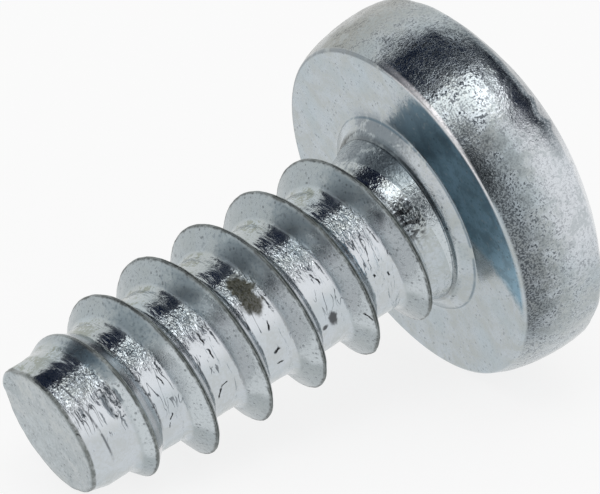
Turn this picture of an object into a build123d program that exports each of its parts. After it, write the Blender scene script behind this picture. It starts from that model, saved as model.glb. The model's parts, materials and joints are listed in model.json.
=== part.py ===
from build123d import *
import math
import os

# Pan head sheet metal screw with a coarse tapping thread, a blunt end and a cross recess.
# Millimetres. The screw is first modelled upright, with the middle of its bearing face at the
# origin and its shank pointing down the Z axis, and then laid on the ground as it comes to rest.

# Thread
pitch = 1.4
major_diameter = 4.18
minor_diameter = 3.07
flank_angle = 60
crest_land = 0.1
crest_offset = 0.058
start_diameter = 3.1
start_length = 2.8
run_out_diameter = 3.7
run_out_length = 1.1

# Shank
shank_length = 9.36
end_diameter = 2.88
end_taper = 12
end_tilt = 5.5
end_tilt_direction = 29
end_edge_radius = 0.05
ridge_bevel = 30

# Collar under the head
collar_diameter = 4.46
collar_neck_diameter = 3.8
collar_depth = 0.26
neck_depth = 1.1

# Head
head_diameter = 8.11
head_height = 3.2
head_top_radius = 6.8
side_radius = 3.4
widest_height = 1.32
shoulder_radius = 0.27
rim_edge_radius = 0.08

# Cross recess
recess_span = 4.7
recess_floor_span = 2.3
recess_depth = 2.1
wing_width = 1.5
wing_floor_width = 1.2
point_depth = 0.3

# Radii and slopes that follow
minor_radius = minor_diameter / 2
major_radius = major_diameter / 2
head_radius = head_diameter / 2
start_radius = start_diameter / 2
run_out_radius = run_out_diameter / 2
start_slope = (major_radius - start_radius) / start_length
run_out_slope = (major_radius - run_out_radius) / run_out_length

# Thread ridge: its root is sunk a little into the core, it begins past the end of the shank and
# it stops inside the head
ridge_height = major_radius - minor_radius
root_overlap = ridge_height / 4
half_land = crest_land / 2
half_root = half_land + (ridge_height + root_overlap) * math.tan(math.radians(flank_angle / 2))
turns = math.ceil((shank_length + half_root) / pitch)
ridge_bottom = -crest_offset - turns * pitch
ridge_top = widest_height / 2
margin = pitch

# The cuts that shape the crest reach out to this radius, clear of the ridge at its widest
clear_radius = max(major_radius, start_radius, run_out_radius) + margin

# Plane of the end face, how far from it the taper reaches the core's full width, and how far the
# cut that shapes the end then spreads while it bevels the start of the ridge
end_radius = end_diameter / 2
end_plane = Plane((0, 0, -shank_length)).rotated(
    (0, end_tilt, end_tilt_direction), Extrinsic.XYZ
)
end_section = Plane(end_plane.origin, x_dir=end_plane.x_dir, z_dir=-end_plane.y_dir)
taper_length = (minor_radius - end_radius) / math.tan(math.radians(end_taper))
spread = 2 * ridge_height
spread_length = spread / math.tan(math.radians(ridge_bevel))

# Centre of the arc of the head's side
side_centre_radius = head_radius - side_radius


def cross(span, width):
    """Outline of two crossing slots."""
    Rectangle(span, width)
    Rectangle(width, span)


def resting_lean(radius, height):
    """Lean of the axis, in radians, when the head's side and this point of the shank touch down."""
    distance = widest_height - height
    rise = side_centre_radius - radius
    return math.atan2(rise, distance) + math.asin(side_radius / math.hypot(distance, rise))


with BuildPart() as upright:
    # Thread ridge
    with BuildLine() as spiral:
        Helix(pitch, ridge_top - ridge_bottom, minor_radius, center=(0, 0, ridge_bottom))
    with BuildSketch(Plane((minor_radius, 0, ridge_bottom), x_dir=(1, 0, 0), z_dir=(0, -1, 0))):
        Polygon(
            (-root_overlap, -half_root),
            (ridge_height, -half_land),
            (ridge_height, half_land),
            (-root_overlap, half_root),
            align=None,
        )
    sweep(path=spiral.wire(), is_frenet=True)

    # Core
    with BuildSketch(Plane.XY.offset(ridge_bottom - half_root)):
        Circle(minor_radius)
    extrude(amount=ridge_top - ridge_bottom + 2 * half_root)

    # The crest grows from the end, and sinks again towards the head
    with BuildSketch(Plane.XZ):
        Polygon(
            (start_radius - start_slope * margin, -shank_length - margin),
            (clear_radius, -shank_length - margin),
            (clear_radius, -shank_length + start_length + margin),
            (major_radius + start_slope * margin, -shank_length + start_length + margin),
            align=None,
        )
        Polygon(
            (run_out_radius - run_out_slope * margin, margin),
            (clear_radius, margin),
            (clear_radius, -run_out_length - margin),
            (major_radius + run_out_slope * margin, -run_out_length - margin),
            align=None,
        )
    revolve(axis=Axis.Z, mode=Mode.SUBTRACT)

    # Blunt end, cut a little out of square, with a short taper and a rounded edge
    with BuildSketch(end_section):
        Polygon(
            (0, 0),
            (end_radius, 0),
            (minor_radius, taper_length),
            (minor_radius + spread, taper_length + spread_length),
            (minor_radius + spread, shank_length + margin),
            (0, shank_length + margin),
            align=None,
        )
    revolve(axis=Axis(end_plane.origin, end_plane.z_dir), mode=Mode.INTERSECT)
    fillet(upright.faces().sort_by(Axis.Z)[0].outer_wire().edges(), end_edge_radius)

    # Collar under the head
    with BuildSketch(Plane.XZ):
        Polygon(
            (0, -neck_depth),
            (minor_radius, -neck_depth),
            (collar_neck_diameter / 2, -collar_depth),
            (collar_diameter / 2, 0),
            (0, 0),
            align=None,
        )
    revolve(axis=Axis.Z)

    # Head with a bulging side, a rounded shoulder and a domed top
    with BuildSketch(Plane.XZ) as head_section:
        Rectangle(head_radius, head_height, align=(Align.MIN, Align.MIN))
        with Locations((side_centre_radius, widest_height)):
            Circle(side_radius, mode=Mode.INTERSECT)
        with Locations((0, head_height - head_top_radius)):
            Circle(head_top_radius, mode=Mode.INTERSECT)
        rim, shoulder = head_section.vertices().sort_by(Axis.X)[-2:]
        fillet(rim, rim_edge_radius)
        fillet(shoulder, shoulder_radius)
    revolve(axis=Axis.Z)

    # Cross recess with tapered wings and a shallow point
    with BuildSketch(Plane.XY.offset(head_height)):
        cross(recess_span, wing_width)
    with BuildSketch(Plane.XY.offset(head_height - recess_depth)):
        cross(recess_floor_span, wing_floor_width)
    loft(mode=Mode.SUBTRACT)
    with BuildSketch(Plane.XZ):
        with Locations((0, head_height - recess_depth)):
            Polygon((0, 0), (wing_floor_width / 2, 0), (0, -point_depth), align=None)
    revolve(axis=Axis.Z, mode=Mode.SUBTRACT)

# Lean of the axis when the screw lies on the side of its head and on its shank: the ground is
# tangent to the arc of the side, and passes through the taper's start or the first crest above it
crest_height = pitch / 2 - crest_offset - pitch * math.floor(
    (shank_length - taper_length + pitch / 2 - crest_offset) / pitch
)
crest_radius = min(major_radius, start_radius + start_slope * (shank_length + crest_height))
lean = min(
    resting_lean(minor_radius, taper_length - shank_length),
    resting_lean(crest_radius, crest_height),
)

# The axis rises from the end to the head along X, and the recess is seen from that side
with BuildPart(
    Plane(
        (0, 0, 0),
        x_dir=(-math.sin(lean), 0, math.cos(lean)),
        z_dir=(math.cos(lean), 0, math.sin(lean)),
    )
) as leaning:
    add(upright.part)

# The origin is on the ground under the middle of the screw
box = leaning.part.bounding_box()
with BuildPart(Plane((-box.center().X, -box.center().Y, -box.min.Z))) as screw:
    add(leaning.part)

os.makedirs("parts", exist_ok=True)
screw.part.label = "screw"
export_step(screw.part, "parts/screw.step")
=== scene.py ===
import json
import math

import bmesh
import bpy
from mathutils import Matrix, Vector, noise


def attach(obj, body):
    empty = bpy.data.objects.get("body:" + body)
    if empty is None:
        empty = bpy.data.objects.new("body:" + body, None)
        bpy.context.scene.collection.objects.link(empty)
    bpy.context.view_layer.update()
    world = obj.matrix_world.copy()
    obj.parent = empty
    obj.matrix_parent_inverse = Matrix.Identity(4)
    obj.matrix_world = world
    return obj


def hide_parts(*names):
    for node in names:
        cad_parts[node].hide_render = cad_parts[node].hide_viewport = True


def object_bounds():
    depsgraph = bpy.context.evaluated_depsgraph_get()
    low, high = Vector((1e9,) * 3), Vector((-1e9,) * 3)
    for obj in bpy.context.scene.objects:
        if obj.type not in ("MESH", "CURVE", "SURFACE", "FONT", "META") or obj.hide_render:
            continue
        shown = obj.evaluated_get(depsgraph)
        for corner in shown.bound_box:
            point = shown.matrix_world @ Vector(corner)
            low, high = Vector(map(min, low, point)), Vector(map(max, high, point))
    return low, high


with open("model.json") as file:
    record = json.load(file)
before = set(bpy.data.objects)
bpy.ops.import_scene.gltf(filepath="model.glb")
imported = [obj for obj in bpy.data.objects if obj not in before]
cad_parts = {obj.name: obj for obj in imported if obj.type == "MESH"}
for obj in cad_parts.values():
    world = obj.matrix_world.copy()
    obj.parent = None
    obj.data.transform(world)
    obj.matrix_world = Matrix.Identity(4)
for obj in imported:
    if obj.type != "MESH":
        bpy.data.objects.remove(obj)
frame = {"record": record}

CAD_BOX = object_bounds()

bl_info = {
    "name": "Pan head sheet metal screw",
    "version": (1, 0, 0),
    "blender": (4, 5, 0),
    "location": "3D View > Sidebar > Screw",
    "description": "Models a zinc plated pan head sheet metal screw and the studio it is shown in",
    "category": "Add Mesh",
}

# The screw is modelled upright, with the middle of its bearing face at the origin and its shank
# pointing down the Z axis, and is then laid down along the axis that the frame gives.
MM = 0.001
WELD = 0.001 * MM


def mount(name):
    """The frame's mount of that name."""
    return next(entry for entry in frame["record"]["mounts"] if entry["name"] == name)


BEARING = Vector(mount("bearing_face")["pos_m"])
AXIS = -Vector(mount("bearing_face")["axis"]).normalized()
LEAN = math.atan2(AXIS.z, AXIS.x)
LYING = Matrix.Translation(BEARING) @ Matrix(
    (
        (-math.sin(LEAN), 0, math.cos(LEAN), 0),
        (0, -1, 0, 0),
        (math.cos(LEAN), 0, math.sin(LEAN), 0),
        (0, 0, 0, 1),
    )
)


def length(name, value, description):
    """A size in metres, given in millimetres."""
    return bpy.props.FloatProperty(
        name=name, description=description, default=value * MM, unit="LENGTH", precision=5
    )


def angle(name, value, description):
    """An angle, given in degrees."""
    return bpy.props.FloatProperty(
        name=name, description=description, default=math.radians(value), unit="ROTATION"
    )


def number(name, value, description):
    """A plain number."""
    return bpy.props.FloatProperty(name=name, description=description, default=value)


def colour(name, value, description):
    """A colour in linear light."""
    return bpy.props.FloatVectorProperty(
        name=name, description=description, default=value, size=3, subtype="COLOR", min=0, max=1
    )


class SCREW_PG_thread(bpy.types.PropertyGroup):
    """Sizes of the threaded shank."""

    pitch: length("Pitch", 1.4, "Distance from one crest to the next")
    major: length("Major diameter", 4.18, "Diameter over the crests")
    minor: length("Minor diameter", 3.07, "Diameter of the core")
    flank: angle("Flank angle", 60, "Angle between the two flanks")
    crest_round: length("Crest rounding", 0.045, "Radius along each side of the crest")
    root_round: length("Root rounding", 0.13, "Radius where a flank meets the core")
    crest_fold: length("Crest fold", 0.02, "Depth of the fold along the middle of the crest")
    start_shift: length("Start shift", 0.22, "How far the first crest lies nearer to the next one")
    crest_offset: length("Crest offset", 0.058, "From the bearing face to the upper side's crest")
    start_diameter: length("Start diameter", 3.1, "Diameter of the crest at the end of the shank")
    start_length: length("Start length", 2.8, "Length in which the crest grows")
    fade_diameter: length("Fade diameter", 3.7, "Diameter of the crest at the head")
    fade_length: length("Fade length", 1.1, "Length in which the crest sinks towards the head")


class SCREW_PG_end(bpy.types.PropertyGroup):
    """Sizes of the blunt end."""

    length: length("Shank length", 9.36, "From the bearing face to the middle of the end")
    diameter: length("End diameter", 2.88, "Diameter of the end before its edge is rounded")
    taper: angle("Taper", 12, "Slope of the short taper")
    bevel: angle("Bevel", 30, "Slope to which the start of the thread's ridge is cut")
    tilt: angle("Tilt", 5.5, "How far the end is cut out of square")
    tilt_direction: angle("Tilt direction", 29, "Side towards which the end leans")
    edge: length("Edge radius", 0.05, "Rounding of the edge")


class SCREW_PG_head(bpy.types.PropertyGroup):
    """Sizes of the head and the collar under it."""

    diameter: length("Head diameter", 8.11, "Widest diameter")
    height: length("Head height", 3.2, "From the bearing face to the top")
    top_radius: length("Top radius", 6.8, "Radius of the domed top")
    side_radius: length("Side radius", 3.4, "Radius of the bulging side")
    widest: length("Widest height", 1.32, "Height of the widest circle")
    shoulder: length("Shoulder radius", 0.27, "Rounding between side and top")
    rim: length("Rim radius", 0.08, "Rounding of the edge of the bearing face")
    collar: length("Collar diameter", 4.46, "Diameter of the collar at the bearing face")
    neck: length("Neck diameter", 3.8, "Diameter of the collar's lower edge")
    collar_depth: length("Collar depth", 0.26, "Height of the collar")
    neck_depth: length("Neck depth", 1.1, "How far the neck reaches down the shank")
    groove: length("Groove", 0.025, "Depth of the fine line under the collar")


class SCREW_PG_recess(bpy.types.PropertyGroup):
    """Sizes of the cross recess."""

    span: length("Span", 4.7, "Length of a slot at the top")
    floor_span: length("Floor span", 2.3, "Length of a slot at the floor")
    depth: length("Depth", 2.1, "Depth of the slots")
    width: length("Width", 1.5, "Width of a slot at the top")
    floor_width: length("Floor width", 1.2, "Width of a slot at the floor")
    point: length("Point", 0.3, "Depth of the point below the floor")
    corner: length("Corner radius", 0.12, "Rounding of the slots' corners")


class SCREW_PG_finish(bpy.types.PropertyGroup):
    """Colours and roughness of the zinc."""

    zinc: colour("Zinc", (0.50, 0.55, 0.585), "Bright plated zinc")
    dull: colour("Dull zinc", (0.43, 0.465, 0.465), "Dull zinc")
    olive: colour("Olive zinc", (0.245, 0.255, 0.23), "Dull brownish zinc on the back of the head")
    flank: colour("Flank", (0.34, 0.385, 0.40), "Duller zinc on the flanks that face the end")
    # Painted dark reflection on the flanks that face the end and at the upper end of the bearing
    # face's band, and painted shade in the groove round the collar
    painted_dark: colour("Slate", (0.06, 0.118, 0.162), "Dark film on those flanks")
    blue: colour("Blue zinc", (0.43, 0.51, 0.56), "Pale blue film on the zinc")
    # Painted pale sheen on the lower part of the flanks that face the end
    painted_pale_sheen: colour("Pale blue", (0.59, 0.64, 0.665), "Pale film on the lower part of those flanks")
    # Also a painted bright reflection on the flanks that face the head, and a tint on the collar
    edge: colour("Rim edge", (0.80, 0.78, 0.79), "Bright worn edge of the bearing face")
    # Painted sheen in the valleys and on the head's side, on the side towards the camera
    bright: colour("Bright zinc", (0.72, 0.75, 0.79), "Clean bright zinc")
    fleck: colour("Fleck", (0.042, 0.05, 0.06), "Dark flecks and pits")
    # Also a painted dark reflection along the rounded edge of the end
    crest: colour("Crest", (0.17, 0.185, 0.178), "Worn crest of the thread")
    # Also a painted dark reflection on the head's shoulder
    smear_and_dark_reflection: colour("Smear", (0.11, 0.135, 0.155), "Grey smears near the head")
    moss: colour("Green dull zinc", (0.24, 0.26, 0.20), "Green tinge in the valleys")
    # Blue tint with a painted reflection of the shank, on the bearing face
    teal_tint_and_reflection: colour("Teal", (0.25, 0.425, 0.54), "Blue film on the bearing face")
    stain: colour("Stain", (0.05, 0.046, 0.026), "Brown stain")
    # Also painted shade in the groove under the collar
    crack_and_groove_shade: colour("Crack", (0.02, 0.02, 0.022), "Dark cracks and pits")
    roughness: number("Roughness", 0.19, "Roughness of the bright zinc")


class SCREW_PG_studio(bpy.types.PropertyGroup):
    """The camera's place and the light."""

    azimuth: angle("Azimuth", -36.619, "Turn of the camera round the screw")
    elevation: angle("Elevation", 26.424, "Height of the camera")
    distance: length("Distance", 227.73, "From the camera to the bearing face")
    aside: length("Aside", 2.194, "How far right of the picture's middle the bearing face is")
    above: length("Above", 0.707, "How far above the picture's middle the bearing face is")
    lens: number("Lens", 663.1, "Focal length in millimetres on a 36 mm wide sensor")
    floor: colour("Floor", (0.86, 0.86, 0.86), "Colour of the floor")
    ambient: number("Ambient", 0.75, "Strength of the light from all round")


SETTINGS = {
    "screw_thread": SCREW_PG_thread,
    "screw_end": SCREW_PG_end,
    "screw_head": SCREW_PG_head,
    "screw_recess": SCREW_PG_recess,
    "screw_finish": SCREW_PG_finish,
    "screw_studio": SCREW_PG_studio,
}


# Modelling helpers

def start_piece(name):
    """A new object with one vertex at the origin, left in edit mode with the vertex selected."""
    bpy.ops.object.select_all(action="DESELECT")
    bpy.ops.mesh.primitive_plane_add(size=MM, location=(0, 0, 0))
    piece = bpy.context.object
    piece.name = name
    piece.data.name = name
    bpy.ops.object.mode_set(mode="EDIT")
    bpy.ops.mesh.select_mode(type="VERT")
    bpy.ops.mesh.select_all(action="SELECT")
    bpy.ops.mesh.merge(type="CENTER")
    return piece


def extrude(move):
    """Extrudes what is selected and moves it."""
    bpy.ops.mesh.extrude_region_move(TRANSFORM_OT_translate={"value": move})


def draw_profile(points):
    """Moves the selected vertex to the first of the points, and extrudes it along the others."""
    here = Vector((points[0][0], 0, points[0][1]))
    bpy.ops.transform.translate(value=here)
    for radius, height in points[1:]:
        there = Vector((radius, 0, height))
        extrude(there - here)
        here = there


def finish_mesh():
    """Merges doubles, turns the faces outward and leaves edit mode."""
    bpy.ops.mesh.select_all(action="SELECT")
    bpy.ops.mesh.remove_doubles(threshold=WELD)
    bpy.ops.mesh.normals_make_consistent(inside=False)
    bpy.ops.object.mode_set(mode="OBJECT")


def cut_off(point, normal):
    """Cuts off the side of the whole mesh that the normal points to, and closes the cut."""
    bpy.ops.mesh.select_all(action="SELECT")
    bpy.ops.mesh.bisect(
        plane_co=point, plane_no=normal, use_fill=True, clear_outer=True, threshold=WELD / 10
    )


def join_solids(piece, other, operation):
    """Applies a Boolean of the other solid to the piece, and removes the other."""
    bpy.ops.object.select_all(action="DESELECT")
    bpy.context.view_layer.objects.active = piece
    boolean = piece.modifiers.new(operation.title(), "BOOLEAN")
    boolean.object = other
    boolean.operation = operation
    boolean.solver = "EXACT"
    boolean.use_self = False
    bpy.ops.object.modifier_apply(modifier=boolean.name)
    bpy.data.objects.remove(other)


def arc(centre, radius, start, end, count):
    """Points along an arc, with both its ends, as (radius, height) pairs. Angles in radians."""
    step = (end - start) / count
    return [
        (
            centre[0] + radius * math.cos(start + i * step),
            centre[1] + radius * math.sin(start + i * step),
        )
        for i in range(count + 1)
    ]


def line(start, end, count):
    """Points from start up to, but not with, the end."""
    return [
        (
            start[0] + (end[0] - start[0]) * i / count,
            start[1] + (end[1] - start[1]) * i / count,
        )
        for i in range(count)
    ]


def smooth_min(a, b, blend):
    """The smaller of two values, with a soft change from one to the other."""
    near = max(blend - abs(a - b), 0) / blend
    return min(a, b) - near * near * blend / 4


def smooth_step(low, high, value):
    """0 below low, 1 above high and a soft step between them."""
    t = min(max((value - low) / (high - low), 0), 1)
    return t * t * (3 - 2 * t)


# Shank

# Steps along each part of the thread's section, round one turn and round the edge of the end
ROOT_STEPS = 6
ROUND_STEPS = 5
FLANK_STEPS = 8
CREST_STEPS = 3
TURN_STEPS = 128
EDGE_STEPS = 5

# The winding begins this many turns past the end, and has this many more than the shank needs
TURNS_BELOW = 1
SPARE_TURNS = 3

# Width of the soft change from the thread to the taper of the end
SOFT = 0.03 * MM

# Heights above the end between which the crest comes to its own place
FIRST_CREST = (1.65 * MM, 0.75 * MM)

# Size of each ring within the flat end face, as a share of the one outside it
END_RINGS = (0.9, 0.6, 0.4)


def ridge_profile(thread):
    """One pitch of the thread's section, from root to root round a crest at height 0."""
    core = thread.minor / 2
    top = thread.major / 2
    half = thread.flank / 2
    rise = math.pi / 2 - half
    crest_r = thread.crest_round
    root_r = thread.root_round
    crest_centre = top - crest_r
    # Where the crest's arc ends on the flank, and where the root's arc starts from the flank
    crest_out = crest_r * math.cos(half)
    crest_low = crest_centre + crest_r * math.sin(half)
    straight = (crest_low - core - root_r * (1 - math.sin(half))) / math.tan(rise)
    root_start = crest_out + straight
    root_centre = root_start + root_r * math.cos(half)
    side = []
    side += line((core, thread.pitch / 2), (core, root_centre), ROOT_STEPS)
    side += [
        (core + root_r - root_r * math.cos(a), root_centre - root_r * math.sin(a))
        for a in (rise * i / ROUND_STEPS for i in range(ROUND_STEPS))
    ]
    side += line(
        (core + root_r * (1 - math.sin(half)), root_start), (crest_low, crest_out), FLANK_STEPS
    )
    side += [
        (crest_centre + crest_r * math.sin(a), crest_r * math.cos(a))
        for a in (half + rise * i / CREST_STEPS for i in range(CREST_STEPS))
    ]
    below = [(radius, -height) for radius, height in side]
    fold = [(top, -crest_r / 3), (top - thread.crest_fold, 0), (top, crest_r / 3)]
    return below + fold + side[::-1]


def wind_ridge(thread, end, top):
    """The thread as an open surface, from past the blunt end to past the height top."""
    below = math.ceil(end.length / thread.pitch) + TURNS_BELOW
    bottom = -thread.crest_offset - below * thread.pitch
    shank = start_piece("shank")
    draw_profile([(radius, bottom + height) for radius, height in ridge_profile(thread)])
    bpy.ops.object.mode_set(mode="OBJECT")
    winding = shank.modifiers.new("Thread", "SCREW")
    winding.axis = "Z"
    winding.screw_offset = thread.pitch
    winding.steps = TURN_STEPS
    winding.render_steps = TURN_STEPS
    winding.iterations = math.ceil((end.length + top) / thread.pitch) + SPARE_TURNS
    bpy.ops.object.modifier_apply(modifier=winding.name)
    bpy.ops.object.mode_set(mode="EDIT")
    bpy.ops.mesh.select_all(action="SELECT")
    bpy.ops.mesh.remove_doubles(threshold=WELD)
    bpy.ops.object.mode_set(mode="OBJECT")
    return shank


def end_normal(end):
    """Direction out of the end face."""
    slant = Matrix.Rotation(end.tilt_direction, 3, "Z") @ Matrix.Rotation(end.tilt, 3, "Y")
    return slant @ Vector((0, 0, -1))


def shape_ridge(shank, thread, end):
    """Lowers the ridge towards both its ends, and tapers the shank's end."""
    core = thread.minor / 2
    top_radius = thread.major / 2
    taper_length = (core - end.diameter / 2) / math.tan(end.taper)
    start_slope = (thread.major - thread.start_diameter) / 2 / thread.start_length
    fade_slope = (thread.major - thread.fade_diameter) / 2 / thread.fade_length
    normal = end_normal(end)
    foot = Vector((0, 0, -end.length))
    for vertex in shank.data.vertices:
        co = vertex.co
        radius = math.hypot(co.x, co.y)
        # Where the ridge is low it keeps its form: its whole section is as much lower as its crest
        turned = math.atan2(co.y, co.x) / (2 * math.pi)
        winding_number = round((co.z + thread.crest_offset) / thread.pitch - turned)
        crest_height = (winding_number + turned) * thread.pitch - thread.crest_offset
        # The first crest was rolled a little nearer to the next one
        first = smooth_step(*FIRST_CREST, crest_height + end.length)
        beyond = (co.z - crest_height) / (thread.pitch / 4) - 1
        co.z += thread.start_shift * first * (1 - min(max(beyond, 0), 1))
        inward = (foot - co).dot(normal)
        grown = thread.start_diameter / 2 + start_slope * (crest_height + end.length)
        faded = thread.fade_diameter / 2 - fade_slope * crest_height
        crest = max(min(grown, faded, top_radius), core)
        wanted = core + (radius - core) * (crest - core) / (top_radius - core)
        # The taper of the end, and past it the bevel of the ridge's start
        along = inward - taper_length
        tapered = core + along * math.tan(end.taper if along < 0 else end.bevel)
        wanted = smooth_min(wanted, tapered, SOFT)
        co.x *= wanted / radius
        co.y *= wanted / radius


def round_end(end, foot, normal):
    """Draws the cap out along a quarter of a circle, and adds rings within the flat face."""
    reach = end.diameter / 2
    before = 0
    width = reach
    for i in range(1, EDGE_STEPS + 1):
        turn = math.pi / 2 * i / EDGE_STEPS
        out = end.edge * math.sin(turn)
        narrow = reach - end.edge * (1 - math.cos(turn))
        extrude(normal * (out - before))
        bpy.ops.transform.resize(value=(narrow / width,) * 3, center_override=foot)
        before = out
        width = narrow
    for share in END_RINGS:
        extrude((0, 0, 0))
        bpy.ops.transform.resize(value=(share,) * 3, center_override=foot)


def add_shank(thread, end, top):
    """The threaded shank, closed at its blunt end and at the height top."""
    shank = wind_ridge(thread, end, top)
    shape_ridge(shank, thread, end)
    foot = Vector((0, 0, -end.length))
    normal = end_normal(end)
    bpy.ops.object.mode_set(mode="EDIT")
    cut_off((0, 0, top), (0, 0, 1))
    cut_off(foot - normal * end.edge, normal)
    round_end(end, foot, normal)
    finish_mesh()
    return shank


# Head

# How far the neck reaches into the core, and the steps along each part of the head's section and
# round the head
NECK_SUNK = 0.25 * MM
NECK_STEPS = 18
COLLAR_STEPS = 5
FACE_STEPS = 16
DOME_STEPS = 24
SIDE_STEPS = 40
SPIN_STEPS = 256

# How far the recess's cutting solid stands out of the head, the steps round its corners and the
# angle below which two faces count as one
RECESS_OVER = 0.4 * MM
CORNER_STEPS = 3
FLAT_ANGLE = math.radians(1)


def meeting(first, first_radius, second, second_radius):
    """Of the two points where two circles meet, the one with the larger radius from the axis."""
    apart = Vector(second) - Vector(first)
    distance = apart.length
    along = (distance**2 + first_radius**2 - second_radius**2) / (2 * distance)
    aside = math.sqrt(first_radius**2 - along**2)
    unit = apart / distance
    middle = Vector(first) + unit * along
    sideways = Vector((-unit.y, unit.x)) * aside
    return max(middle + sideways, middle - sideways, key=lambda point: point.x)


def heading(centre, point):
    """Angle of the direction from centre to point."""
    return math.atan2(point[1] - centre[1], point[0] - centre[0])


def head_profile(head, core):
    """The head's section with its collar, from the axis inside the shank to the axis at the top."""
    neck = head.neck / 2
    collar = head.collar / 2
    groove = head.groove
    side = Vector((head.diameter / 2 - head.side_radius, head.widest))
    dome = Vector((0, head.height - head.top_radius))
    rim_reach = math.sqrt((head.side_radius - head.rim) ** 2 - (head.widest - head.rim) ** 2)
    rim = Vector((side.x + rim_reach, head.rim))
    shoulder = meeting(
        side, head.side_radius - head.shoulder, dome, head.top_radius - head.shoulder
    )
    # The neck is a cone, whose lower edge is sunk in the core
    slope = (neck - core) / (head.neck_depth - head.collar_depth)
    foot = -head.neck_depth - NECK_SUNK
    points = [(0, foot)]
    points += line(
        (core - slope * NECK_SUNK, foot), (neck - groove, -head.collar_depth - groove), NECK_STEPS
    )
    # A fine groove runs round under the collar
    points += [
        (neck - groove, -head.collar_depth - groove / 2),
        (neck + groove, -head.collar_depth + groove / 2),
    ]
    points += line(
        (neck + 2 * groove, -head.collar_depth + groove), (collar, -1.5 * groove), COLLAR_STEPS
    )
    points += [(collar, -1.5 * groove), (collar + groove, -0.4 * groove)]
    points += line((collar + 2 * groove, 0), (rim.x, 0), FACE_STEPS)
    points += arc(rim, head.rim, -math.pi / 2, heading(side, rim), ROUND_STEPS)
    points += arc(
        side, head.side_radius, heading(side, rim), heading(side, shoulder), SIDE_STEPS
    )[1:-1]
    points += arc(
        shoulder, head.shoulder, heading(side, shoulder), heading(dome, shoulder), ROUND_STEPS
    )
    points += arc(dome, head.top_radius, heading(dome, shoulder), math.pi / 2, DOME_STEPS)[1:]
    points[-1] = (0, head.height)
    return points


def add_head(head, core):
    """The head and its collar, as one closed solid of revolution."""
    piece = start_piece("head")
    draw_profile(head_profile(head, core))
    bpy.ops.mesh.select_all(action="SELECT")
    bpy.ops.mesh.spin(
        steps=SPIN_STEPS, angle=2 * math.pi, center=(0, 0, 0), axis=(0, 0, 1), use_auto_merge=True
    )
    finish_mesh()
    return piece


def draw_cross(span, width, height):
    """A flat cross at that height, left in edit mode with all its faces selected."""
    bpy.ops.object.select_all(action="DESELECT")
    bpy.ops.mesh.primitive_plane_add(size=width, location=(0, 0, height))
    tool = bpy.context.object
    tool.name = "recess"
    bpy.ops.object.transform_apply(location=True, rotation=False, scale=False)
    bpy.ops.object.mode_set(mode="EDIT")
    bpy.ops.mesh.select_mode(type="EDGE")
    reach = (span - width) / 2
    for direction in (Vector((1, 0, 0)), Vector((0, 1, 0)), Vector((-1, 0, 0)), Vector((0, -1, 0))):
        bpy.ops.mesh.select_all(action="DESELECT")
        mesh = bmesh.from_edit_mesh(tool.data)
        for edge in mesh.edges:
            middle = (edge.verts[0].co + edge.verts[1].co) / 2
            if (Vector((middle.x, middle.y, 0)) - direction * width / 2).length < WELD:
                edge.select = True
        mesh.select_flush(True)
        bmesh.update_edit_mesh(tool.data)
        extrude(direction * reach)
    bpy.ops.mesh.select_mode(type="FACE")
    bpy.ops.mesh.select_all(action="SELECT")
    bpy.ops.mesh.dissolve_limited(angle_limit=FLAT_ANGLE)
    bpy.ops.mesh.select_all(action="SELECT")
    return tool


def narrow_floor(tool, recess, floor, span, width):
    """Draws the wing ends and the walls of the floor's cross in to their own sizes."""
    shrink = recess.floor_width / width
    wing = recess.floor_span / span
    for vertex in tool.data.vertices:
        if abs(vertex.co.z - floor) < WELD:
            for i in (0, 1):
                share = wing if abs(vertex.co[i]) > width else shrink
                vertex.co[i] *= share


def point_floor(tool, recess, floor):
    """Splits the floor into triangles and draws its middle down to the point."""
    bpy.ops.object.mode_set(mode="EDIT")
    bpy.ops.mesh.select_mode(type="FACE")
    bpy.ops.mesh.select_all(action="DESELECT")
    mesh = bmesh.from_edit_mesh(tool.data)
    for face in mesh.faces:
        if abs(face.calc_center_median().z - floor) < WELD:
            face.select = True
    bmesh.update_edit_mesh(tool.data)
    bpy.ops.mesh.poke(offset=0)
    finish_mesh()
    for vertex in tool.data.vertices:
        if abs(vertex.co.z - floor) < WELD and math.hypot(vertex.co.x, vertex.co.y) < WELD:
            vertex.co.z -= recess.point


def add_recess(recess, head):
    """The solid that cuts the cross recess."""
    spread = (recess.span - recess.floor_span) / recess.depth
    narrowing = (recess.width - recess.floor_width) / recess.depth
    span = recess.span + spread * RECESS_OVER
    width = recess.width + narrowing * RECESS_OVER
    floor = head.height - recess.depth
    tool = draw_cross(span, width, head.height + RECESS_OVER)
    extrude((0, 0, floor - head.height - RECESS_OVER))
    bpy.ops.object.mode_set(mode="OBJECT")
    narrow_floor(tool, recess, floor, span, width)
    point_floor(tool, recess, floor)
    bevel = tool.modifiers.new("Corners", "BEVEL")
    bevel.width = recess.corner
    bevel.segments = CORNER_STEPS
    bevel.limit_method = "ANGLE"
    bpy.ops.object.modifier_apply(modifier=bevel.name)
    return tool


# Wear

# Lumps from rolling, heading and plating: lumps to the millimetre, offset of the noise and height
# in millimetres
SIDE_LUMPS = ((1.5, 0, 0.020), (4.5, 9, 0.006))
VALLEY_LUMPS = ((1.5, 0, 0.012), (4.0, 0, 0.010))
RIDGE_LUMPS = ((2.2, 0, 0.010), (6.0, 0, 0.008))

# Distances from the axis, in millimetres, between which a dent fades out on the end face
END_FACE = (1.30, 1.42)

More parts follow.
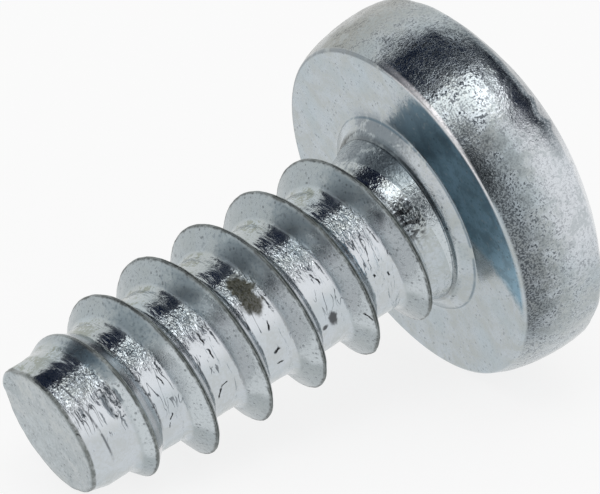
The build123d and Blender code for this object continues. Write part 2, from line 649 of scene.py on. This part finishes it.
# Dents and burrs: turn round the axis and height of the middle, reach round the axis in degrees and
# along it in millimetres, and how far the surface stands out in millimetres
DENTS = (
    (52, -8.60, 12, 0.10, -0.050),
    (62, -8.56, 13, 0.11, -0.060),
    (54, -8.36, 10, 0.07, -0.040),
    (74, -8.70, 10, 0.07, -0.030),
    (-52, -9.30, 34, 0.30, 0.100),
    (-22, -9.34, 16, 0.16, -0.040),
    (42.6, 1.96, 2.0, 0.22, 0.060),
    (47.0, 1.97, 2.6, 0.26, -0.040),
    (51.2, 2.02, 2.2, 0.26, 0.070),
    (66.5, 2.02, 1.8, 0.22, 0.040),
)


def bump_at(turn, height, place, reach):
    """1 at the middle of a spot on the shank or head, and 0 beyond its reach round and along it."""
    around_axis = math.degrees(math.atan2(place.y, place.x)) - turn
    off = math.hypot(around_axis / reach[0], (place.z - height) / reach[1])
    return 1 - smooth_step(0, 1, off)


def lumps_at(place, sizes):
    """How far lumps of the given sizes stand out at a place, in millimetres."""
    return sum(
        noise.noise(place * scale + Vector((offset, 0, 0))) * height
        for scale, offset, height in sizes
    )


def wear(piece, core):
    """Small lumps and dents, moved into the finished mesh. The core's radius is in millimetres."""
    moved = []
    for vertex in piece.data.vertices:
        place = vertex.co / MM
        radius = math.hypot(place.x, place.y)
        on_side = smooth_step(0.0, 0.3, place.z) * smooth_step(3.0, 3.4, radius)
        on_shank = smooth_step(-0.3, -0.6, place.z)
        in_valley = on_shank * smooth_step(core + 0.08, core + 0.03, radius)
        on_ridge = on_shank * smooth_step(core + 0.2, core + 0.4, radius)
        shift = on_side * lumps_at(place, SIDE_LUMPS)
        shift += in_valley * lumps_at(place, VALLEY_LUMPS)
        shift += on_ridge * lumps_at(place, RIDGE_LUMPS)
        for turn, height, wide, high, depth in DENTS:
            if abs(place.z - height) < high:
                dent = depth * bump_at(turn, height, place, (wide, high))
                shift += dent * smooth_step(*END_FACE, radius)
        moved.append(vertex.co + vertex.normal * shift * MM)
    for vertex, co in zip(piece.data.vertices, moved):
        vertex.co = co
    piece.data.update()


# Finish

class Field:
    """A value that varies over the surface. Sums, products and the like add Math nodes."""

    def __init__(self, tree, socket):
        self.tree = tree
        self.socket = socket

    def maths(self, operation, *values):
        return node(self.tree, "ShaderNodeMath", {"operation": operation}, dict(enumerate(values)))

    def __add__(self, other):
        return self.maths("ADD", self, other)

    def __sub__(self, other):
        return self.maths("SUBTRACT", self, other)

    def __rsub__(self, other):
        return self.maths("SUBTRACT", other, self)

    def __mul__(self, other):
        return self.maths("MULTIPLY", self, other)

    def __truediv__(self, other):
        return self.maths("DIVIDE", self, other)

    def __rtruediv__(self, other):
        return self.maths("DIVIDE", other, self)

    def __pow__(self, other):
        return self.maths("POWER", self, other)

    def __abs__(self):
        return self.maths("ABSOLUTE", self)

    __radd__ = __add__
    __rmul__ = __mul__

    def most(self, other):
        """The larger of the two values."""
        return self.maths("MAXIMUM", self, other)

    def least(self, other):
        """The smaller of the two values."""
        return self.maths("MINIMUM", self, other)

    def rise(self, low, high):
        """0 at low and 1 at high, with a soft step between them. Low may be above high."""
        return node(
            self.tree,
            "ShaderNodeMapRange",
            {"interpolation_type": "SMOOTHSTEP"},
            {"Value": self, "From Min": low, "From Max": high},
        )

    def within(self, low, high, soft):
        """1 between low and high, with soft edges, and 0 outside."""
        return self.rise(low - soft, low + soft) * self.rise(high + soft, high - soft)


def node(tree, kind, settings, inputs, output=0):
    """A new node with its settings made first, then its inputs set or linked. Gives one output."""
    made = tree.nodes.new(kind)
    for name, value in settings.items():
        setattr(made, name, value)
    for key, value in inputs.items():
        if isinstance(value, Field):
            tree.links.new(value.socket, made.inputs[key])
        else:
            made.inputs[key].default_value = value
    return Field(tree, made.outputs[output]) if made.outputs else None


# Noise: lumps to the millimetre, detail, stretch along each axis, distortion and offset
EVEN = (1, 1, 1)
PATTERNS = {
    "broad": (0.9, 2, EVEN, 0, 0),
    "cloud": (2.6, 3, EVEN, 0.6, 0),
    "spots": (7, 2, EVEN, 0, 5),
    "wobble": (7, 2, EVEN, 0, 0),
    "lumps": (10, 3, EVEN, 0.8, 0),
    "grain": (15, 3, EVEN, 0.4, 0),
    "fine": (26, 1, EVEN, 0, 0),
    "lines": (1.6, 2, (1, 1, 14), 0, 0),
    "creases": (1.3, 2, (1, 1, 4), 0.5, 7),
    "strokes": (12, 1, (1, 1, 0.18), 0.2, 0),
    "chips": (8, 2, (1, 1, 1.8), 1.2, 0),
    "waves": (2.2, 3, (1, 1, 2.6), 0.8, 3),
}

# The edge of the band of painted reflection on the bearing face slants: how many degrees a
# millimetre from the axis turns it, and its start
REFLECTED_BAND_SLANT = 14
REFLECTED_BAND_START = 50.4

# How fast the bright line along the rim narrows, in millimetres to the degree, and from which turn
RIM_NARROWING = 0.0025
RIM_NARROWS_FROM = 20

# How far cracks wander, in millimetres
WOBBLE = 0.12

# Dark cracks and short scratches in the plating: turn round the axis in degrees, height in
# millimetres, slant from the way round in degrees, length and width in millimetres
CRACKS = (
    (93.3, -5.99, -76, 0.21, 0.030),
    (99.6, -6.13, -18, 0.31, 0.034),
    (93.0, -7.365, -26, 0.20, 0.022),
    (100.4, -7.44, -14, 0.16, 0.020),
    (92.5, -4.615, -58, 0.20, 0.050),
    (105.7, -4.565, 78, 0.19, 0.035),
    (97.4, -2.58, 33, 0.22, 0.028),
    (81.4, -1.977, 20, 0.09, 0.030),
    (86.0, -1.645, 15, 0.13, 0.026),
    (55.1, -3.25, 22, 0.15, 0.026),
    (60.6, -3.20, 16, 0.20, 0.028),
    (51.0, -6.085, 2, 0.36, 0.030),
    (65.0, -6.05, 8, 0.30, 0.026),
    (62.0, -7.30, 14, 0.30, 0.020),
    (70.0, -4.62, -8, 0.26, 0.022),
)

# Long soft marks near the end, given in the same way
MARKS = (
    (57.8, -8.565, 3, 0.74, 0.085),
    (54.5, -8.32, 4, 0.44, 0.060),
    (51.8, -9.15, 4, 0.30, 0.055),
    (64.0, -8.80, 6, 0.40, 0.030),
    (72.0, -8.42, 4, 0.60, 0.028),
)

# Brown stains and dark blots: turn round the axis in degrees and height of the middle, length
# round the screw and along it, in millimetres
STAINS = (
    (34.0, -4.72, 0.55, 0.42),
    (42.0, -4.70, 0.55, 0.50),
    (51.0, -4.72, 0.45, 0.55),
    (30.0, -5.35, 0.50, 0.30),
)
BLOTS = (
    (95.0, -3.18, 0.42, 0.26),
    (98.8, -3.36, 0.16, 0.20),
)


class Paint:
    """Where each point of the screw lies, and the patterns that its finish is mixed from. Lengths
    are in millimetres from the axis and the bearing face, and turns are in degrees from the upper
    side towards the camera."""

    def __init__(self, tree, thread, end):
        self.tree = tree
        coords = node(tree, "ShaderNodeTexCoord", {}, {}, "Object")
        self.place = node(
            tree,
            "ShaderNodeMapping",
            {"vector_type": "TEXTURE"},
            {
                "Vector": coords,
                "Location": BEARING,
                "Rotation": LYING.to_3x3().to_euler("XYZ"),
                "Scale": (MM, MM, MM),
            },
        )
        self.x, self.y, self.z = (
            node(tree, "ShaderNodeSeparateXYZ", {}, {"Vector": self.place}, axis) for axis in "XYZ"
        )
        self.core = thread.minor / 2 / MM
        self.radius = (self.x * self.x + self.y * self.y) ** 0.5
        turn = self.x.maths("ARCTAN2", self.y, self.x)
        self.turn = turn * math.degrees(1)
        # Along the axis, how far the middle of the nearest crest lies
        pitch = thread.pitch / MM
        phase = (self.z + thread.crest_offset / MM) / pitch - turn / (2 * math.pi)
        regular = (phase - phase.maths("ROUND", phase)) * pitch
        first = (self.z - regular + end.length / MM).rise(*(high / MM for high in FIRST_CREST))
        self.aside = regular - first * (thread.start_shift / MM)
        self.from_crest = abs(self.aside)
        # How far a point lies out of the end face
        normal = end_normal(end)
        above_end = self.z + end.length / MM
        self.outward = self.x * normal.x + self.y * normal.y + above_end * normal.z

    def noise(self, name):
        """The noise of that name, about 0.5."""
        scale, detail, stretch, distortion, offset = PATTERNS[name]
        place = node(
            self.tree,
            "ShaderNodeVectorMath",
            {"operation": "MULTIPLY_ADD"},
            {0: self.place, 1: stretch, 2: (offset, offset, offset)},
        )
        inputs = {"Vector": place, "Scale": scale, "Detail": detail, "Distortion": distortion}
        return node(self.tree, "ShaderNodeTexNoise", {}, inputs)

    def cells(self, scale):
        """How far the middle of the nearest cell is, with that many cells to the millimetre."""
        inputs = {"Vector": self.place, "Scale": scale}
        return node(self.tree, "ShaderNodeTexVoronoi", {"feature": "F1"}, inputs)

    def mix(self, factor, first, second):
        """First colour where the factor is 0, the second where it is 1."""
        inputs = {"Factor": factor}
        for name, shade in (("A", first), ("B", second)):
            inputs[name] = shade if isinstance(shade, Field) else (*shade, 1)
        return node(self.tree, "ShaderNodeMix", {"data_type": "RGBA"}, inputs, "Result")

    def cover(self, factor, shade):
        """Lays a colour over the finish where the factor is 1."""
        self.shade = self.mix(factor, self.shade, shade)

    def cracks(self, sizes):
        """1 in the cracks or marks of the given sizes."""
        wobble = (self.noise("wobble") - 0.5) * WOBBLE
        found = []
        for turn, height, slant, reach, width in sizes:
            round_way = (self.turn - turn) * (math.radians(1) * self.core)
            up = self.z - height
            cos = math.cos(math.radians(slant))
            sin = math.sin(math.radians(slant))
            along = abs(round_way * cos + up * sin)
            off = abs(up * cos - round_way * sin + wobble)
            taper = along.rise(reach / 2, reach / 4)
            found.append(off.rise(width * 0.85, width * 0.25) * taper)
        return sum(found).least(1.0)

    def spots(self, sizes, grain):
        """1 in ragged spots of the given places and sizes."""
        found = []
        for turn, height, wide, high in sizes:
            round_way = (self.turn - turn) * (math.radians(1) * self.core * 2 / wide)
            up = (self.z - height) * (2 / high)
            away = (round_way * round_way + up * up) ** 0.5
            found.append((away + grain).rise(1.15, 0.55))
        return sum(found).least(1.0)


def build_finish(finish, thread, end, head):
    """Bright zinc with dull flecks, worn crests, a grainy head, scratches and a few stains, with
    painted sheen, painted reflections and painted shade.
    """
    material = bpy.data.materials.new("zinc_plated_steel")
    material.use_nodes = True
    tree = material.node_tree
    shader = tree.nodes["Principled BSDF"]
    paint = Paint(tree, thread, end)
    turn, z, radius, core = paint.turn, paint.z, paint.radius, paint.core
    aside, from_crest, outward = paint.aside, paint.from_crest, paint.outward
    rim_radius = end.diameter / 2 / MM

    # Parts of the screw
    on_head = z.rise(0.02, 0.10)
    on_shank = z.rise(-0.16, -0.24)
    on_face = radius.rise(2.26, 2.32) * z.rise(0.03, 0.01)
    on_collar = z.within(-0.25, -0.02, 0.02) * radius.rise(2.3, 2.24)
    on_neck = z.within(-1.0, -0.3, 0.05) * radius.rise(2.0, 1.92)
    on_flank = on_shank * radius.rise(core + 0.05, core + 0.13)
    on_end = outward.rise(-0.03, -0.01)
    on_core = on_shank * radius.rise(core + 0.10, core + 0.03) * (1 - on_end)
    faces_end = aside.rise(0.02, -0.06) * on_flank

    # Noise of several sizes
    cloud = paint.noise("cloud")
    lumps = paint.noise("lumps")
    grain = paint.noise("grain")
    fine = paint.noise("fine")
    broad = paint.noise("broad")
    ragged = (cloud - 0.5) * 0.7 + (grain - 0.5) * 0.6
    pits = (grain * 0.55 + fine * 0.45).rise(0.49, 0.58)

    # Mottled zinc, olive on the back of the head and greenish in the valleys
    patches = (cloud + (grain - 0.5) * 0.8).rise(0.3, 0.7)
    paint.shade = paint.mix(patches, finish.dull, finish.zinc)
    paint.cover(broad.rise(0.45, 0.7) * 0.5, finish.blue)
    paint.cover(on_head * turn.within(-150, -10, 14) * 0.95, finish.olive)
    moss = turn.within(-70, 2, 14) * on_core * ragged.rise(-0.06, 0.10)
    paint.cover(moss * 0.75, finish.moss)

    # Dull films on the flanks that face the end, a painted pale sheen on their lower part, and a
    # painted bright reflection on the flanks behind them that face the head
    paint.cover(faces_end * 0.7, finish.flank)
    painted_pale_sheen = faces_end * (turn.within(44, 112, 14) + ragged * 0.8).rise(0.3, 0.8)
    paint.cover(painted_pale_sheen * 0.9, finish.painted_pale_sheen)
    faces_head = aside.rise(0.03, 0.10) * on_flank
    paint.cover(faces_head * z.rise(-0.95, -1.1) * 0.75, finish.edge)

    # Painted sheen: brighter zinc in the valleys and on the head's side above its rim, on the side
    # towards the camera
    sheen_core = on_core * turn.within(44, 120, 14)
    sheen_streak = on_core * (turn + ragged * 10).within(42, 70, 8)
    sheen_head = on_head * turn.within(34, 96, 12) * (z + ragged * 0.7).rise(0.75, 1.4)
    paint.cover(sheen_core * 0.35 + sheen_streak * 0.5 + sheen_head * 0.8, finish.bright)

    # Painted dark reflection on the upper flanks that face the end, near the root, and duller
    # patches on the end and the head
    near_root = on_shank * aside.rise(0.0, -0.1) * radius.rise(core - 0.02, core + 0.05)
    painted_dark = near_root * (turn.within(-4, 38, 20) + ragged * 1.3).rise(0.15, 1.1)
    paint.cover(painted_dark * (0.42 + 0.33 * z.rise(-7.3, -7.9)), finish.painted_dark)
    patches = (cloud + lumps - 0.5).rise(0.35, 0.65)
    paint.cover(on_end * (0.2 + 0.7 * patches), finish.flank)
    patches = (lumps + (cloud - 0.5) * 0.8).rise(0.52, 0.36)
    paint.cover(on_head * patches * 0.45, finish.flank)
    paint.cover(on_collar * (turn + ragged * 30).within(16, 60, 10) * 0.15, finish.edge)

    # Painted reflection of the shank in the bearing face, as a band over a blue tint whose edge
    # slants, with a darker painted reflection at its upper end
    slant = REFLECTED_BAND_START - radius * REFLECTED_BAND_SLANT
    reflected_band = on_face * (turn + slant + ragged * 12).within(21, 102, 4) * radius.rise(3.80, 3.70)
    spots = paint.noise("spots").rise(0.60, 0.70)
    clouded = 0.5 + 0.5 * (cloud + (grain - 0.5) * 0.7).rise(0.32, 0.62)
    film = paint.mix(turn.rise(0, 50) * clouded, finish.painted_dark, finish.teal_tint_and_reflection)
    paint.cover(reflected_band * (0.92 - spots * 0.3), film)

    # Dark flecks: dense on the head near its rim, scattered elsewhere
    veins = abs(lumps - 0.5).rise(0.03, 0.0) * cloud.rise(0.40, 0.52)
    low = z.rise(1.7, 0.3) * turn.within(10, 120, 25)
    bruise = turn.within(2, 32, 12) * z.within(0.2, 2.0, 0.3)
    bruise = bruise + turn.within(30, 52, 8) * z.within(1.3, 2.4, 0.25)
    dense = 0.12 + 0.42 * cloud.rise(0.38, 0.62) + 0.42 * low + 0.35 * bruise
    dense = dense * (1 - 0.45 * sheen_head)
    head_flecks = on_head * (veins * 0.12).most(pits * dense.least(1.0))
    cells = paint.cells(7.0).rise(0.26, 0.14) * cloud.rise(0.40, 0.52)
    plain = on_face * 0.7 + faces_end + on_end + on_collar * 0.6
    specks = (cells * 0.5).most(grain.rise(0.52, 0.68) * 0.26) * plain
    flecks = head_flecks.most(specks)
    grainy = (fine + ragged * 0.3).rise(0.40, 0.60)
    on_rim = z.rise(0.03, 0.10) * (z + (cloud - 0.5) * 0.9).rise(1.05, 0.2)
    rim_band = on_rim * turn.within(30, 118, 12) * (0.5 + 0.4 * grainy)
    paint.cover(flecks.most(rim_band), finish.fleck)

    # A painted dark reflection on the head's shoulder, and the worn edge of the bearing face,
    # widest on the upper side
    shoulder = on_head * (turn + ragged * 14).within(8, 58, 9)
    shoulder = shoulder * (z + ragged * 0.3).rise(1.50, 1.80)
    grainy = (fine + ragged * 0.5).rise(0.40, 0.58)
    shoulder = shoulder * radius.rise(2.0, 2.9) * (0.6 + 0.38 * grainy)
    paint.cover(shoulder, finish.smear_and_dark_reflection)
    narrowed = z + (turn - RIM_NARROWS_FROM) * RIM_NARROWING
    rim_line = narrowed.rise(0.16, 0.10) * z.rise(0.0, 0.02)
    rim_line = rim_line * turn.within(8, 85, 8) * radius.rise(3.70, 3.76)
    paint.cover(rim_line * (0.95 - pits * 0.4), finish.edge)
    corner = z.within(-0.01, 0.06, 0.015) * radius.rise(3.72, 3.77)
    corner = corner * turn.within(-150, 10, 10) * cloud.rise(0.25, 0.45)
    paint.cover(corner * 0.5, finish.fleck)

    # Worn crests with dark lines, a line at the root behind them, and a painted dark reflection as
    # a line round the rounded edge of the end
    width = 0.046 + (cloud - 0.5) * 0.05 + (lumps - 0.5) * 0.03
    on_crest = on_shank * radius.rise(core + 0.12, core + 0.2) * (1 - on_end)
    on_crest = on_crest * (from_crest - width).rise(0.016, -0.016)
    end_edge_reflection = (outward + (cloud - 0.5) * 0.06).within(-0.085, 0.0, 0.02)
    end_edge_reflection = end_edge_reflection * radius.rise(rim_radius - 0.1, rim_radius - 0.02)
    # worn holds the worn crests and the painted dark reflection round the end's edge
    worn = on_crest.most(end_edge_reflection)
    patches = (grain + cloud - 0.5).rise(0.38, 0.58)
    paint.cover(worn * (0.62 + 0.33 * patches), finish.crest)
    dark_edges = on_crest * from_crest.within(0.028, 0.048, 0.010) * lumps.rise(0.35, 0.6)
    root_line = on_shank * aside.within(0.34, 0.385, 0.018)
    root_line = root_line * lumps.rise(0.32, 0.5) * turn.within(12, 96, 10)
    root_line = root_line * radius.rise(core + 0.15, core + 0.08)
    paint.cover((dark_edges * 0.6).most(root_line * 0.75), finish.fleck)

    # Smears on the collar and the neck, and painted shade as dark lines in the grooves at the
    # collar's two edges
    smears = z.within(-1.0, 0.02, 0.05) * (turn + ragged * 40).within(-26, 24, 12)
    smears = smears * (cloud + (lumps - 0.5) * 0.5).rise(0.36, 0.56)
    paint.cover(smears * radius.rise(2.6, 2.2) * 0.7, finish.smear_and_dark_reflection)
    neck_groove_shade = abs(z + head.collar_depth / MM + 0.01).rise(0.04, 0.012)
    neck_groove_shade = neck_groove_shade * radius.rise(1.7, 1.78) * radius.rise(2.02, 1.95)
    neck_groove_shade = neck_groove_shade * (0.35 + 0.65 * turn.within(30, 66, 12))
    paint.cover(neck_groove_shade * 0.8, finish.crack_and_groove_shade)
    collar_groove_shade = radius.within(2.22, 2.26, 0.02) * abs(z).rise(0.06, 0.03)
    paint.cover(collar_groove_shade * cloud.rise(0.3, 0.5) * 0.6, finish.painted_dark)

    # Stains, blots, strokes across the neck, creases along the core, marks and cracks
    frayed = (lumps - 0.5) * 0.9 + (cloud - 0.5) * 2.0
    stained = paint.spots(STAINS, frayed) * on_shank * radius.rise(1.9, 1.7)
    paint.cover(stained * (0.85 + 0.1 * pits), finish.stain)
    blots = paint.spots(BLOTS, frayed) * on_shank * radius.rise(1.8, 1.6)
    paint.cover(blots * 0.85, finish.crack_and_groove_shade)
    near_neck = z.within(-0.98, -0.62, 0.06) * turn.within(40, 72, 6) * on_shank
    strokes = paint.noise("strokes").rise(0.48, 0.58) * near_neck
    paint.cover(strokes * 0.8, finish.crack_and_groove_shade)
    creased = on_core * turn.within(34, 84, 12)
    creased = creased * (cloud + (broad - 0.5) * 0.8).rise(0.48, 0.56)
    creases = abs(paint.noise("creases") - 0.5).rise(0.016, 0.005) * creased
    paint.cover(creases * 0.85, finish.fleck)
    marked = paint.cracks(MARKS) * on_shank * (1 - on_end)
    paint.cover(marked * 0.75, finish.smear_and_dark_reflection)
    cracked = paint.cracks(CRACKS) * on_shank
    paint.cover(cracked, finish.crack_and_groove_shade)

    # Relief in millimetres: grain all over, chips beside the bright patches and waves on the core
    chips = paint.noise("chips") - 0.5
    waves = paint.noise("waves") - 0.5
    lines = paint.noise("lines") - 0.5
    chipped = on_core * (turn + ragged * 26).within(22, 45, 5)
    relief = (fine - 0.5) * 0.001 + (grain - 0.5) * 0.002
    relief = relief + on_head * ((lumps - 0.5) * 0.005 + (fine - 0.5) * 0.0025)
    relief = relief + on_core * (waves * 0.022 + lines * 0.006)
    relief = relief + on_neck * (chips * 0.012 + waves * 0.014)
    relief = relief + chipped * (chips * 0.04 + (cloud - 0.5) * 0.05)
    relief = relief - cracked * 0.02 - flecks * 0.002 - neck_groove_shade * 0.02
    relief = relief - creases * 0.012 - marked * 0.008

    # Roughness of the bright zinc, more where it is worn or stained, on the bearing face and where
    # reflections are painted
    rough = finish.roughness + (cloud - 0.5) * 0.16
    rough = rough + on_face * 0.02 + rim_line * 0.2 + reflected_band * 0.2
    rough = rough + painted_dark * 0.16 + faces_end * 0.06 + worn * 0.15
    rough = rough + flecks * 0.15 + stained * 0.3 + cracked * 0.3
    bump = node(tree, "ShaderNodeBump", {}, {"Height": relief, "Distance": MM})
    tree.links.new(paint.shade.socket, shader.inputs["Base Color"])
    tree.links.new(bump.socket, shader.inputs["Normal"])
    tree.links.new(rough.socket, shader.inputs["Roughness"])
    shader.inputs["Metallic"].default_value = 1
    return material


# Operators

# Edges at which the screw's faces meet more steeply than this stay sharp
SHARP_ANGLE = math.radians(35)

# How far into the head the shank reaches, as a share of the head's height
SHANK_REACH = 1 / 5

# Side of the floor in metres, and how near to plain white it looks to the camera and in reflections
FLOOR_SIZE = 4
FLOOR_SEEN = 0.82
FLOOR_REFLECTED = 0.85

# The lamp and the panels: turn from straight up towards the camera's side and lean towards the
# head in degrees, distance and size in metres, and power in watts or colour
LAMP = (14, 0, 0.25, (0.25, 0.11), 0.125)
DARK = (0.012, 0.019, 0.042)
PANELS = {
    "dark_panel": (-22, -10, 0.25, (0.44, 0.20), DARK),
    "dark_wing": (14, 40, 0.25, (0.11, 0.30), DARK),
}

# The panel before the camera: distance and size in metres, and colour
CAMERA_PANEL = (0.16, (0.09, 0.12), (0.04, 0.05, 0.06))

# Width of the camera's sensor in millimetres, and how near it sees in metres
SENSOR_WIDTH = 36
CLIP_START = 0.01


class SCREW_OT_add_screw(bpy.types.Operator):
    """Model the screw, lay it down and give it its finish"""

    bl_idname = "screw.add_screw"
    bl_label = "Add screw"

    def execute(self, context):
        scene = context.scene
        head = scene.screw_head
        thread = scene.screw_thread
        end = scene.screw_end
        core = thread.minor / 2
        screw = add_shank(thread, end, head.height * SHANK_REACH)
        join_solids(screw, add_head(head, core), "UNION")
        join_solids(screw, add_recess(scene.screw_recess, head), "DIFFERENCE")
        wear(screw, core / MM)
        screw.name = "zinc_screw"
        bpy.ops.object.select_all(action="DESELECT")
        screw.select_set(True)
        bpy.context.view_layer.objects.active = screw
        screw.matrix_world = LYING
        bpy.ops.object.transform_apply(location=True, rotation=True, scale=True)
        bpy.ops.object.shade_smooth_by_angle(angle=SHARP_ANGLE)
        screw.data.materials.clear()
        screw.data.materials.append(build_finish(scene.screw_finish, thread, end, head))
        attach(screw, "root")
        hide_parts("screw")
        if not screw.data.polygons:
            raise RuntimeError("the screw has no faces")
        return {"FINISHED"}


def light_paths(tree):
    """Whether a ray comes from the camera, from a reflection or through something clear."""
    return (
        node(tree, "ShaderNodeLightPath", {}, {}, name)
        for name in ("Is Camera Ray", "Is Glossy Ray", "Is Transmission Ray")
    )


def facing(direction):
    """A turn whose Z axis points along the direction, and whose X axis follows the screw."""
    along = (AXIS - direction * AXIS.dot(direction)).normalized()
    across = direction.cross(along)
    return Matrix((along, across, direction)).transposed().to_4x4()


def around(turn, lean):
    """Direction turned from straight up towards the camera's side and leaning towards the head,
    both in degrees."""
    turn = math.radians(turn)
    lean = math.radians(lean)
    across = LYING.to_3x3() @ Vector((math.cos(turn), math.sin(turn), 0))
    return (across * math.cos(lean) + AXIS * math.sin(lean)).normalized()


def camera_direction(studio):
    """Direction from the screw to the camera."""
    flat = math.cos(studio.elevation)
    return Vector(
        (
            flat * math.sin(studio.azimuth),
            -flat * math.cos(studio.azimuth),
            math.sin(studio.elevation),
        )
    )


def add_floor(studio):
    """A white floor that the screw darkens with its shadow."""
    bpy.ops.object.select_all(action="DESELECT")
    bpy.ops.mesh.primitive_plane_add(size=FLOOR_SIZE, location=(0, 0, 0))
    floor = bpy.context.object
    floor.name = "floor"
    material = bpy.data.materials.new("floor")
    material.use_nodes = True
    tree = material.node_tree
    tree.nodes.clear()
    matt = node(tree, "ShaderNodeBsdfDiffuse", {}, {"Color": (*studio.floor, 1)})
    bright = node(tree, "ShaderNodeEmission", {}, {"Color": (1, 1, 1, 1)})
    camera_ray, glossy_ray, clear_ray = light_paths(tree)
    share = camera_ray * FLOOR_SEEN + (glossy_ray + clear_ray) * FLOOR_REFLECTED
    seen = node(tree, "ShaderNodeMixShader", {}, {0: share, 1: matt, 2: bright})
    node(tree, "ShaderNodeOutputMaterial", {}, {"Surface": seen})
    floor.data.materials.append(material)


def add_world(scene, studio):
    """White all round: plain white where it is seen, weaker as a light."""
    world = bpy.data.worlds.new("studio")
    scene.world = world
    world.use_nodes = True
    tree = world.node_tree
    background = tree.nodes["Background"]
    camera_ray, glossy_ray, clear_ray = light_paths(tree)
    seen = camera_ray + glossy_ray + clear_ray
    strength = seen + studio.ambient * (1 - seen)
    background.inputs["Color"].default_value = (1, 1, 1, 1)
    tree.links.new(strength.socket, background.inputs["Strength"])


def add_lamp(name, direction, distance, size, power, aim):
    """A rectangular softbox that faces the screw."""
    bpy.ops.object.select_all(action="DESELECT")
    bpy.ops.object.light_add(type="AREA", location=(0, 0, 0))
    lamp = bpy.context.object
    lamp.name = name
    lamp.data.shape = "RECTANGLE"
    lamp.data.size = size[0]
    lamp.data.size_y = size[1]
    lamp.data.energy = power
    lamp.matrix_world = Matrix.Translation(aim + direction * distance) @ facing(direction)


def add_card(name, direction, distance, size, shade, aim):
    """A panel that only reflections see, facing the screw."""
    bpy.ops.object.select_all(action="DESELECT")
    bpy.ops.mesh.primitive_plane_add(size=1, location=(0, 0, 0))
    card = bpy.context.object
    card.name = name
    card.matrix_world = (
        Matrix.Translation(aim + direction * distance)
        @ facing(direction)
        @ Matrix.Diagonal((size[0], size[1], 1, 1))
    )
    bpy.ops.object.transform_apply(location=True, rotation=True, scale=True)
    material = bpy.data.materials.new(name)
    material.use_nodes = True
    tree = material.node_tree
    tree.nodes.clear()
    glow = node(tree, "ShaderNodeEmission", {}, {"Color": (*shade, 1)})
    node(tree, "ShaderNodeOutputMaterial", {}, {"Surface": glow})
    card.data.materials.append(material)
    card.visible_camera = False
    card.visible_diffuse = False
    card.visible_shadow = False
    card.visible_transmission = False


def add_camera(scene, studio):
    """The camera at the photograph's place."""
    turn = Matrix.Rotation(studio.azimuth, 3, "Z") @ Matrix.Rotation(
        math.pi / 2 - studio.elevation, 3, "X"
    )
    seen = Vector((studio.aside, studio.above, -studio.distance))
    bpy.ops.object.camera_add(location=BEARING - turn @ seen, rotation=turn.to_euler())
    camera = bpy.context.object
    camera.data.sensor_width = SENSOR_WIDTH
    camera.data.lens = studio.lens
    camera.data.clip_start = CLIP_START
    scene.camera = camera


class SCREW_OT_add_studio(bpy.types.Operator):
    """Add the floor, the lamp, the panels that reflections see and the camera"""

    bl_idname = "screw.add_studio"
    bl_label = "Add studio"

    def execute(self, context):
        scene = context.scene
        studio = scene.screw_studio
        middle = Vector((0, 0, CAD_BOX[1][2] / 2))
        add_floor(studio)
        add_world(scene, studio)
        turn, lean, *lamp = LAMP
        add_lamp("top_softbox", around(turn, lean), *lamp, middle)
        for name, (turn, lean, *panel) in PANELS.items():
            add_card(name, around(turn, lean), *panel, middle)
        add_card("camera_panel", camera_direction(studio), *CAMERA_PANEL, middle)
        add_camera(scene, studio)
        scene.view_settings.view_transform = "Standard"
        return {"FINISHED"}


class SCREW_PT_panel(bpy.types.Panel):
    """Lists the steps that make the screw and its studio."""

    bl_label = "Sheet metal screw"
    bl_idname = "SCREW_PT_panel"
    bl_space_type = "VIEW_3D"
    bl_region_type = "UI"
    bl_category = "Screw"

    def draw(self, context):
        for operator in OPERATORS:
            self.layout.operator(operator.bl_idname)
        for name, group in SETTINGS.items():
            box = self.layout.box()
            box.label(text=group.__doc__)
            for field in group.__annotations__:
                box.prop(getattr(context.scene, name), field)


OPERATORS = (SCREW_OT_add_screw, SCREW_OT_add_studio)


def register():
    for group in (*SETTINGS.values(), *OPERATORS, SCREW_PT_panel):
        bpy.utils.register_class(group)
    for name, group in SETTINGS.items():
        setattr(bpy.types.Scene, name, bpy.props.PointerProperty(type=group))


def unregister():
    for name in SETTINGS:
        delattr(bpy.types.Scene, name)
    for group in (*SETTINGS.values(), *OPERATORS, SCREW_PT_panel):
        bpy.utils.unregister_class(group)


def main():
    register()
    bpy.ops.screw.add_studio()
    bpy.ops.screw.add_screw()


if __name__ == "__main__":
    main()
